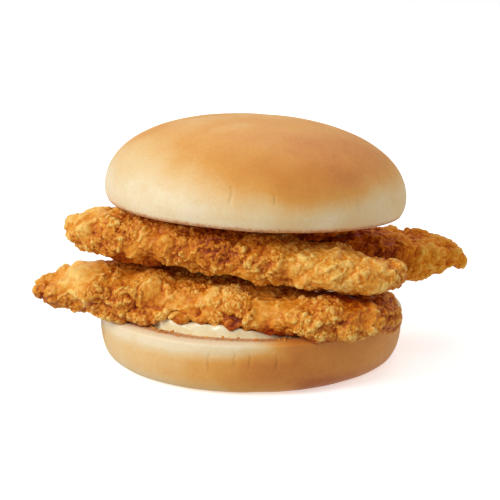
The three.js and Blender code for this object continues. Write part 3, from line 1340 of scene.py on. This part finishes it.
@dataclass
class BunHeel(BunHalf):
    """The flat bottom half of the bun, with the toasted rim of its cut face."""

    base_radius: float = 40.8 * MM
    radius: float = 51.2 * MM
    widest_height: float = 16.6 * MM
    rim_radius: float = 46.0 * MM
    rim_height: float = 18.2 * MM
    face_radius: float = 43.6 * MM
    face_height: float = 16.2 * MM
    side_power: float = 3.03
    shoulder_power: float = 2.2

    def profile(self) -> list[tuple[float, float]]:
        """Follows the heel's outline.

        Returns:
            The profile, from the middle of its base to the middle of its cut face.
        """
        base = (self.base_radius, 0.0)
        widest = (self.radius, self.widest_height)
        rim = (self.rim_radius, self.rim_height)
        face = (self.face_radius, self.face_height)
        return [
            (0.0, 0.0),
            *straight((0.0, 0.0), base, 24),
            *quarter_arc(base, widest, self.side_power, 44, Arc.UPRIGHT_LAST),
            *quarter_arc(widest, rim, self.shoulder_power, 20, Arc.UPRIGHT_FIRST),
            *quarter_arc(rim, face, 1.8, 12, Arc.UPRIGHT_LAST),
            *straight(face, (0.0, self.face_height), 52),
        ]

    def face_share(self, places: np.ndarray) -> np.ndarray:
        """Finds the heel's cut face.

        Args:
            places: Places in metres, one row a vertex.

        Returns:
            For each place 1 on the cut face and 0 on the skin.
        """
        radii = np.hypot(places[:, 0], places[:, 1])
        high = places[:, 2] > self.face_height - 1.0 * MM
        return np.where(high & (radii < self.face_radius + 0.1 * MM), 1.0, 0.0)

    def build(self, finish: bpy.types.Material) -> bpy.types.Object:
        """Makes the heel.

        Args:
            finish: The bun's material.

        Returns:
            The finished object.
        """
        piece = turned(f"{self.node}_baked", self.profile(), self.turns)
        self.paint(piece.data)
        self.uneven(piece.data)
        place_piece(piece, finish, Slot.CRUST, self.node)
        return piece

    def paint(self, mesh: bpy.types.Mesh) -> None:
        """Keeps how browned each spot is, with painted shade and light, and where the cut face and
        its toasted edge are.

        Args:
            mesh: The half's mesh, still level.
        """
        places, _ = read_points(mesh)
        radii = np.hypot(places[:, 0], places[:, 1])
        x, y, heights = places.T / MM
        # Paler towards the left, the key light's side: painted light together with lighter
        # browning.
        pale_side = eased(-x, -2, 44)
        # Darker on the front right, under the lower front strip and away from the key light:
        # painted shade.
        shaded_side = eased(x, -12, 10) * eased(-y, 8, 26)
        low = 1 - eased(heights, 10.5, 16.0 + 3.5 * shaded_side)
        strength = 0.8 - 0.42 * pale_side + 0.22 * shaded_side * eased(-x, -44, -20)
        shaded_shoulder = eased(x, -1, 15) * eased(-y, 8, 26)
        bake_and_shading = np.maximum(low, shaded_shoulder * eased(heights, 30, 18)) * strength
        # Along the bottom, darker on the right and paler on the left: painted shade and painted
        # light.
        bake_and_shading += (0.42 * eased(x, 6, 20) - 0.17) * (1 - eased(heights, 1.5, 7))
        write_attribute(mesh, "bake_and_shading", bake_and_shading)
        face = self.face_share(places)
        write_attribute(mesh, "face", face)
        from_edge = np.abs(radii - self.rim_radius - 1.0 * MM) / (1.5 * MM)
        high = places[:, 2] > self.face_height - 0.2 * MM
        write_attribute(mesh, "edge", np.where(high, np.clip(1.5 - from_edge, 0, 1), 0))


@dataclass
class Mayonnaise:
    """The layer of mayonnaise on the heel, with its squeezed bead at the front."""

    node: str = "mayonnaise"
    voxel: float = 0.4 * MM
    cling: float = 3.6 * MM
    gap: float = 0.1 * MM
    spread: int = 14
    push: float = 3.0 * MM
    reach: float = 43.7 * MM
    sink: float = 0.4 * MM

    def build(self, finish: bpy.types.Material, strips: list[bpy.types.Object]) -> bpy.types.Object:
        """Makes the sauce.

        Args:
            finish: The sauce's material.
            strips: The strips that lie in it.

        Returns:
            The finished object.
        """
        piece = new_object(f"{self.node}_spread", merged_copy(self.node))
        remesh(piece, self.voxel, 5)
        places, normals = read_points(piece.data)
        heights = [0.2 * noise.noise(Vector(place) / 4.5) for place in places / MM]
        places += normals * (np.array(heights) * MM)[:, None]
        radii = np.hypot(places[:, 0], places[:, 1])
        front = eased(-places[:, 1], 8 * MM, 24 * MM)
        pushed = radii + self.push * eased(radii, 35 * MM, 40 * MM) * front
        wanted = np.minimum(pushed, np.maximum(radii, self.reach))
        places[:, :2] *= (wanted / np.maximum(radii, MM))[:, None]
        places[:, 2] -= self.sink * (1 - eased(places[:, 2], 16.6 * MM, 17.8 * MM))
        write_points(piece.data, places)
        for strip in strips:
            self.meet(piece.data, strip)
        place_piece(piece, finish, Slot.SAUCE, self.node)
        return piece

    def meet(self, mesh: bpy.types.Mesh, strip: bpy.types.Object) -> None:
        """Draws the sauce's top up to the strip close above it, and presses it in below.

        Args:
            mesh: The sauce's mesh.
            strip: The strip that lies in it.
        """
        places, normals = read_points(mesh)
        tree = BVHTree.FromObject(strip, bpy.context.evaluated_depsgraph_get())
        base = places[:, 2].min()
        top = np.nonzero(normals[:, 2] > 0.35)[0]
        ceiling = np.full(len(places), np.inf)
        rise = np.zeros(len(places))
        for index in top:
            place = places[index]
            hit = tree.ray_cast(Vector((place[0], place[1], base)), Vector((0, 0, 1)))[0]
            if hit is not None:
                ceiling[index] = max(base + 0.3 * MM, hit.z - self.gap)
                rise[index] = min(self.cling, max(0.0, ceiling[index] - place[2]))
        places[:, 2] += Neighbours(mesh).blurred(rise, self.spread)
        places[top, 2] = np.minimum(places[top, 2], ceiling[top])
        write_points(mesh, places)


@dataclass
class LooseCrumbs:
    """Small crumbs of breading that lie along the front of the heel's rim."""

    seed: int = 21
    count: int = 22
    smallest: float = 0.22 * MM
    largest: float = 0.5 * MM
    inner: float = 45.4 * MM
    outer: float = 48.6 * MM
    first_degrees: float = -46.0
    last_degrees: float = 24.0
    tint_and_shade: float = 0.35

    def build(self, finish: bpy.types.Material, heel: bpy.types.Object) -> bpy.types.Object:
        """Makes the crumbs.

        Args:
            finish: The breading's material.
            heel: The half of the bun that they lie on.

        Returns:
            The finished object, all crumbs in one piece.
        """
        draws = random.Random(self.seed)
        tree = BVHTree.FromObject(heel, bpy.context.evaluated_depsgraph_get())
        shape = bmesh.new()
        for _ in range(self.count):
            angle = math.radians(draws.uniform(self.first_degrees, self.last_degrees))
            radius = draws.uniform(self.inner, self.outer)
            start = Vector((radius * math.sin(angle), -radius * math.cos(angle), 30 * MM))
            spot = tree.ray_cast(start, Vector((0, 0, -1)))[0]
            size = draws.uniform(self.smallest, self.largest)
            turn = Matrix.Rotation(draws.uniform(0, math.tau), 4, "Z")
            length, height = size * draws.uniform(1.0, 1.7), size * draws.uniform(0.6, 0.9)
            rest = Matrix.Translation(spot + Vector((0, 0, size * 0.4)))
            form = rest @ turn @ Matrix.Diagonal((length, size, height, 1))
            bmesh.ops.create_icosphere(shape, subdivisions=3, radius=1, matrix=form)
        for vert in shape.verts:
            vert.co += noise.noise_vector(vert.co / (0.45 * MM)) * 0.12 * MM
        piece = new_object("loose_crumbs", shape)
        write_attribute(piece.data, "tint_and_shade", np.full(len(piece.data.vertices), self.tint_and_shade))
        place_piece(piece, finish, Slot.BREADING)
        return piece


# Studio


@dataclass(frozen=True)
class Lamp:
    """A square soft lamp that shines at the burger's middle, in watts and metres."""

    name: str
    power: float
    side: float
    place: tuple[float, float, float]


@dataclass
class Studio:
    """The camera at the photograph's angle, soft light and a plain white floor."""

    distance: float = 500 * MM
    elevation: float = math.radians(13.0)
    target: tuple[float, float, float] = (-0.35, 0.0, 35.9)
    lens: float = 106.34
    sensor: float = 36.0
    floor_side: float = 12.0
    sky: float = 0.5
    ground: float = 0.7
    lamps: tuple[Lamp, ...] = (
        Lamp("key_light", 11.8, 0.7, (-0.95, -0.65, 0.8)),
        Lamp("top_light", 3.4, 0.9, (0.1, 0.8, 1.1)),
        Lamp("side_light", 2.2, 0.8, (1.1, 0.25, 0.7)),
    )

    def build(self) -> None:
        """Sets the camera, the light and the floor."""
        scene = bpy.context.scene
        scene.view_settings.view_transform = "Standard"
        scene.view_settings.look = "None"
        self.add_camera(scene)
        self.add_sky(scene)
        for lamp in self.lamps:
            self.add_lamp(lamp)
        self.add_floor()

    def add_camera(self, scene: bpy.types.Scene) -> None:
        """Places the camera, which looks along +Y and a little down.

        Args:
            scene: The scene that the camera belongs to.
        """
        data = bpy.data.cameras.new("photo_camera")
        data.lens = self.lens
        data.sensor_width = self.sensor
        data.clip_start = 0.01
        camera = bpy.data.objects.new("photo_camera", data)
        back = Vector((0, -math.cos(self.elevation), math.sin(self.elevation)))
        camera.location = Vector(self.target) * MM + back * self.distance
        camera.rotation_euler = (math.pi / 2 - self.elevation, 0, 0)
        scene.collection.objects.link(camera)
        scene.camera = camera

    def add_sky(self, scene: bpy.types.Scene) -> None:
        """Lights the scene from all sides, a little more from below as a white table does.

        Args:
            scene: The scene that gets the sky.
        """
        world = bpy.data.worlds.new("studio")
        world.use_nodes = True
        tree = world.node_tree
        background = tree.nodes["Background"]
        background.inputs["Color"].default_value = (1, 1, 1, 1)
        place = tree.nodes.new("ShaderNodeTexCoord").outputs["Generated"]
        split = tree.nodes.new("ShaderNodeSeparateXYZ")
        tree.links.new(place, split.inputs[0])
        blend = tree.nodes.new("ShaderNodeMapRange")
        settings = {"From Min": -0.5, "From Max": 0.1, "To Min": self.ground, "To Max": self.sky}
        for name, value in settings.items():
            blend.inputs[name].default_value = value
        tree.links.new(split.outputs["Z"], blend.inputs["Value"])
        tree.links.new(blend.outputs["Result"], background.inputs["Strength"])
        scene.world = world

    def add_lamp(self, lamp: Lamp) -> None:
        """Hangs a lamp and aims it.

        Args:
            lamp: The lamp's name, size and place.
        """
        data = bpy.data.lights.new(lamp.name, "AREA")
        data.energy = lamp.power
        data.size = lamp.side
        hung = bpy.data.objects.new(lamp.name, data)
        hung.location = lamp.place
        aim = Vector(self.target) * MM - Vector(lamp.place)
        hung.rotation_euler = aim.to_track_quat("-Z", "Y").to_euler()
        bpy.context.scene.collection.objects.link(hung)

    def add_floor(self) -> None:
        """Lays the floor just under the burger."""
        shape = bmesh.new()
        lower = Matrix.Translation((0, 0, -0.05 * MM))
        half = self.floor_side / 2
        bmesh.ops.create_grid(shape, x_segments=4, y_segments=4, size=half, matrix=lower)
        floor = new_object("floor", shape)
        floor.data.materials.append(FloorFinish().build("floor_white"))
        floor.visible_diffuse = False
        floor.visible_glossy = False


def chicken_strips() -> tuple[ChickenStrip, ...]:
    """Lists the strips with what each one shows of its own, and the shade and light painted on some
    of its patches.

    Returns:
        The strips from the bottom up: lower front, lower rear, upper front and upper rear.
    """
    lower_front = ChickenStrip(
        "strip_lower_front",
        3,
        knobs=(
            Knob((-69.9, -14.0, 25.9), (2.6, 2.8, 3.0)),
            Knob((-65.0, -15.0, 23.4), (4.3, 3.2, 3.0)),
            Knob((-55.5, -19.5, 21.7), (4.0, 3.0, 2.7)),
            Knob((-48.7, -23.5, 21.6), (4.2, 3.0, 2.3)),
            Knob((-41.5, -27.0, 20.4), (4.4, 2.6, 2.3)),
            Knob((-36.3, -29.5, 21.2), (4.8, 3.0, 2.8)),
            Knob((-33.0, -31.5, 20.6), (4.0, 2.4, 2.2)),
            Knob((-28.3, -33.5, 23.0), (3.6, 2.4, 2.0)),
            Knob((-22.8, -36.9, 22.4), (3.3, 1.9, 1.9)),
            Knob((-16.1, -40.0, 22.6), (2.6, 1.8, 1.7)),
            Knob((-6.0, -42.6, 22.0), (3.1, 1.8, 2.1)),
            Knob((5.3, -44.0, 20.4), (2.8, 1.7, 1.5)),
            Knob((43.4, -32.0, 20.8), (4.8, 5.0, 5.2)),
            Knob((41.5, -31.0, 25.2), (4.6, 4.5, 2.9)),
        ),
        patches=(
            Patch((-69.2, -14.0, 30.3), 3.6, 0.3, -0.3, -3.0),
            Patch((-71.0, -14.0, 26.0), 2.6, 0.1, -0.1, 0.3),
            Patch((-65.0, -12.8, 32.4), 4.4, 0.0, 0.1, -2.6),
            Patch((-57.8, -12.0, 34.8), 3.6, 0.1, 0.2, 1.8),
            Patch((-45.0, -26.0, 23.0), 8.0, 1.0, 0.15),
            Patch((-62.0, -18.0, 30.0), 6.0, -0.5, 0.35, 0.3),
            Patch((-53.5, -16.0, 34.5), 8.0, -0.5, 0.35, 1.5),
            Patch((-55.0, -20.5, 30.5), 6.5, -0.5, 0.3, 0.3),
            Patch((-67.0, -15.0, 24.5), 4.5, 0.7, -0.4),
            Patch((-65.5, -17.5, 26.0), 4.2, 0.6, -0.5),
            Patch((-31.0, -26.0, 33.5), 6.5, 0.6, 0.1, 2.0),
            Patch((-36.0, -31.0, 23.5), 5.0, 0.6, -0.25),
            Patch((-24.0, -37.0, 26.0), 6.0, 0.1, 0.1),
            # Paler, as painted light against the shade of the upper front strip.
            Patch((-6.0, -38.5, 33.5), 7.0, 0.6, 0.5, 1.5),
            Patch((-13.0, -38.0, 24.0), 5.0, 0.3, 0.1),
            # Dark lumps hanging into the sauce: painted shade under the strip.
            Patch((-16.1, -41.2, 21.2), 2.8, 0.2, -1.1),
            Patch((-22.8, -38.8, 21.3), 3.2, 0.2, -1.1),
            Patch((-28.4, -27.5, 17.6), 4.2, 0.3, -0.4, -1.5),
            # More dark lumps in the sauce: painted shade under the strip.
            Patch((-6.0, -43.8, 20.9), 3.4, 0.1, -1.3),
            Patch((5.6, -45.0, 19.8), 3.2, 0.1, -1.3),
            Patch((12.0, -45.0, 27.5), 6.5, 0.1, 0.0),
            Patch((31.8, -46.0, 26.3), 4.8, 0.05, -0.72),
            Patch((33.0, -38.0, 31.5), 5.5, 0.2, -0.5, 1.2),
            Patch((21.0, -46.0, 20.0), 8.0, 1.0, 0.05),
            Patch((42.0, -39.0, 24.5), 7.5, 0.7, -0.5),
            Patch((38.0, -42.0, 16.5), 6.0, 0.6, -0.1, -1.6),
            Patch((42.0, -34.0, 28.5), 5.5, 0.7, -0.15, 1.2),
            Patch((45.0, -33.0, 19.5), 5.0, 0.7, -0.35),
        ),
    )
    lower_rear = ChickenStrip(
        "strip_lower_rear",
        4,
        voxel=0.37 * MM,
        knobs=(
            Knob((74.0, 25.0, 26.9), (3.5, 3.3, 3.6)),
            Knob((73.0, 25.0, 30.0), (2.0, 2.0, 2.0)),
            Knob((60.0, 16.5, 23.8), (4.4, 3.0, 2.8)),
            Knob((65.2, 18.2, 25.3), (3.2, 2.6, 2.7)),
        ),
        patches=(
            # Darker over the left part, in the shade of the crown and the upper front strip:
            # painted shade.
            Patch((38.0, 8.0, 33.0), 17.0, 0.3, -0.75),
            Patch((62.0, 16.0, 30.0), 8.0, 0.4, 0.25),
            Patch((57.0, 25.0, 39.0), 6.0, 0.5, 0.0, -2.2),
            Patch((55.6, 20.5, 37.3), 3.0, 0.5, -0.2, -1.2),
            Patch((63.5, 27.0, 35.8), 4.2, 0.5, 0.1, 1.6),
            Patch((70.0, 22.2, 31.8), 1.8, 0.2, -0.35, -0.8),
            Patch((70.2, 21.0, 29.2), 1.8, 0.2, -0.35, -0.8),
            Patch((70.5, 19.4, 26.6), 1.8, 0.2, -0.35, -0.8),
            Patch((48.0, 7.0, 32.0), 5.5, 0.4, -0.45),
            Patch((70.2, 24.0, 23.6), 2.4, 0.5, -0.3, -1.2),
            Patch((60.0, 15.0, 27.0), 22.0, 0.35, -0.1),
            Patch((75.5, 23.5, 27.0), 3.4, 0.0, -0.15),
        ),
    )
    upper_front = ChickenStrip(
        "strip_upper_front",
        6,
        knobs=(
            Knob((-57.2, -14.5, 47.0), (4.4, 4.2, 4.6)),
            Knob((-54.2, -15.8, 43.0), (4.3, 4.0, 4.1)),
            Knob((-38.5, -28.0, 42.5), (3.0, 2.2, 2.8)),
            Knob((-33.5, -30.0, 46.5), (3.4, 2.2, 2.8)),
            Knob((44.9, -37.5, 36.8), (3.9, 3.8, 4.2)),
        ),
        patches=(
            Patch((-55.0, -18.0, 50.5), 8.0, -0.1, 0.12),
            Patch((-48.0, -15.0, 52.0), 6.5, -0.2, 0.32),
            Patch((-43.0, -18.0, 37.5), 4.6, 0.6, -0.6, 2.3),
            Patch((-42.0, -24.5, 40.6), 4.6, 0.5, -1.0),
            Patch((-31.0, -27.5, 37.6), 6.0, 0.5, -0.1, -1.7),
            Patch((39.0, -44.0, 31.8), 5.0, 0.3, 0.0, 1.3),
            Patch((-47.0, -24.0, 44.0), 6.0, 1.0, -0.1),
            Patch((-28.0, -33.0, 46.0), 6.5, 0.3, -0.2),
            # Darker under the crown's front edge: painted shade.
            Patch((-12.0, -38.0, 51.0), 9.0, 0.8, -0.6),
            Patch((-9.0, -41.0, 44.5), 7.0, 0.9, -0.15),
            Patch((5.0, -42.0, 47.0), 6.0, 0.5, -0.2),
            Patch((17.0, -44.5, 44.0), 8.0, 0.4, 0.35),
            Patch((28.0, -48.0, 39.5), 9.0, 0.3, 0.3),
            Patch((38.0, -47.0, 38.0), 6.0, 0.3, 0.0),
            Patch((47.5, -38.0, 35.0), 4.5, 0.8, -0.3),
        ),
    )
    upper_rear = ChickenStrip(
        "strip_upper_rear",
        8,
        patches=(
            # Darker over the front, in the shade of the crown: painted shade.
            Patch((10.0, 10.0, 45.0), 34.0, 0.3, -0.75),
            Patch((20.0, 1.0, 44.0), 14.0, 0.3, -0.5),
        ),
    )
    return lower_front, lower_rear, upper_front, upper_rear


def main() -> None:
    """Builds the burger's pieces from the bottom up."""
    logging.basicConfig(level=logging.INFO, format="%(name)s: %(message)s")
    noise.seed_set(NOISE_SEED)
    Studio().build()
    crust = CrustFinish().build("baked_crust")
    breading = BreadingFinish().build("fried_breading")
    # A deeper orange copy of the breading for the rear strips, which lie in the shade of the crown
    # and the upper front strip: painted shade.
    rear_finish = BreadingFinish(
        amber=tone(213, 115, 15),
        gold=tone(231, 145, 33),
        pale=tone(243, 184, 80),
        gloss=0.06,
    )
    shaded = rear_finish.build("fried_breading_rear_shaded")
    sauce = SauceFinish().build("mayonnaise_cream")
    heel = BunHeel("bun_heel", 5).build(crust)
    strips = [
        strip.build(shaded if "rear" in strip.node else breading) for strip in chicken_strips()
    ]
    Mayonnaise().build(sauce, strips[:2])
    crown = BunCrown("bun_crown", 7).build(crust, strips[2:])
    LooseCrumbs().build(breading, heel)
    shade_contacts(strips, [heel, crown], CONTACT_REACH)


if __name__ == "__main__":
    main()
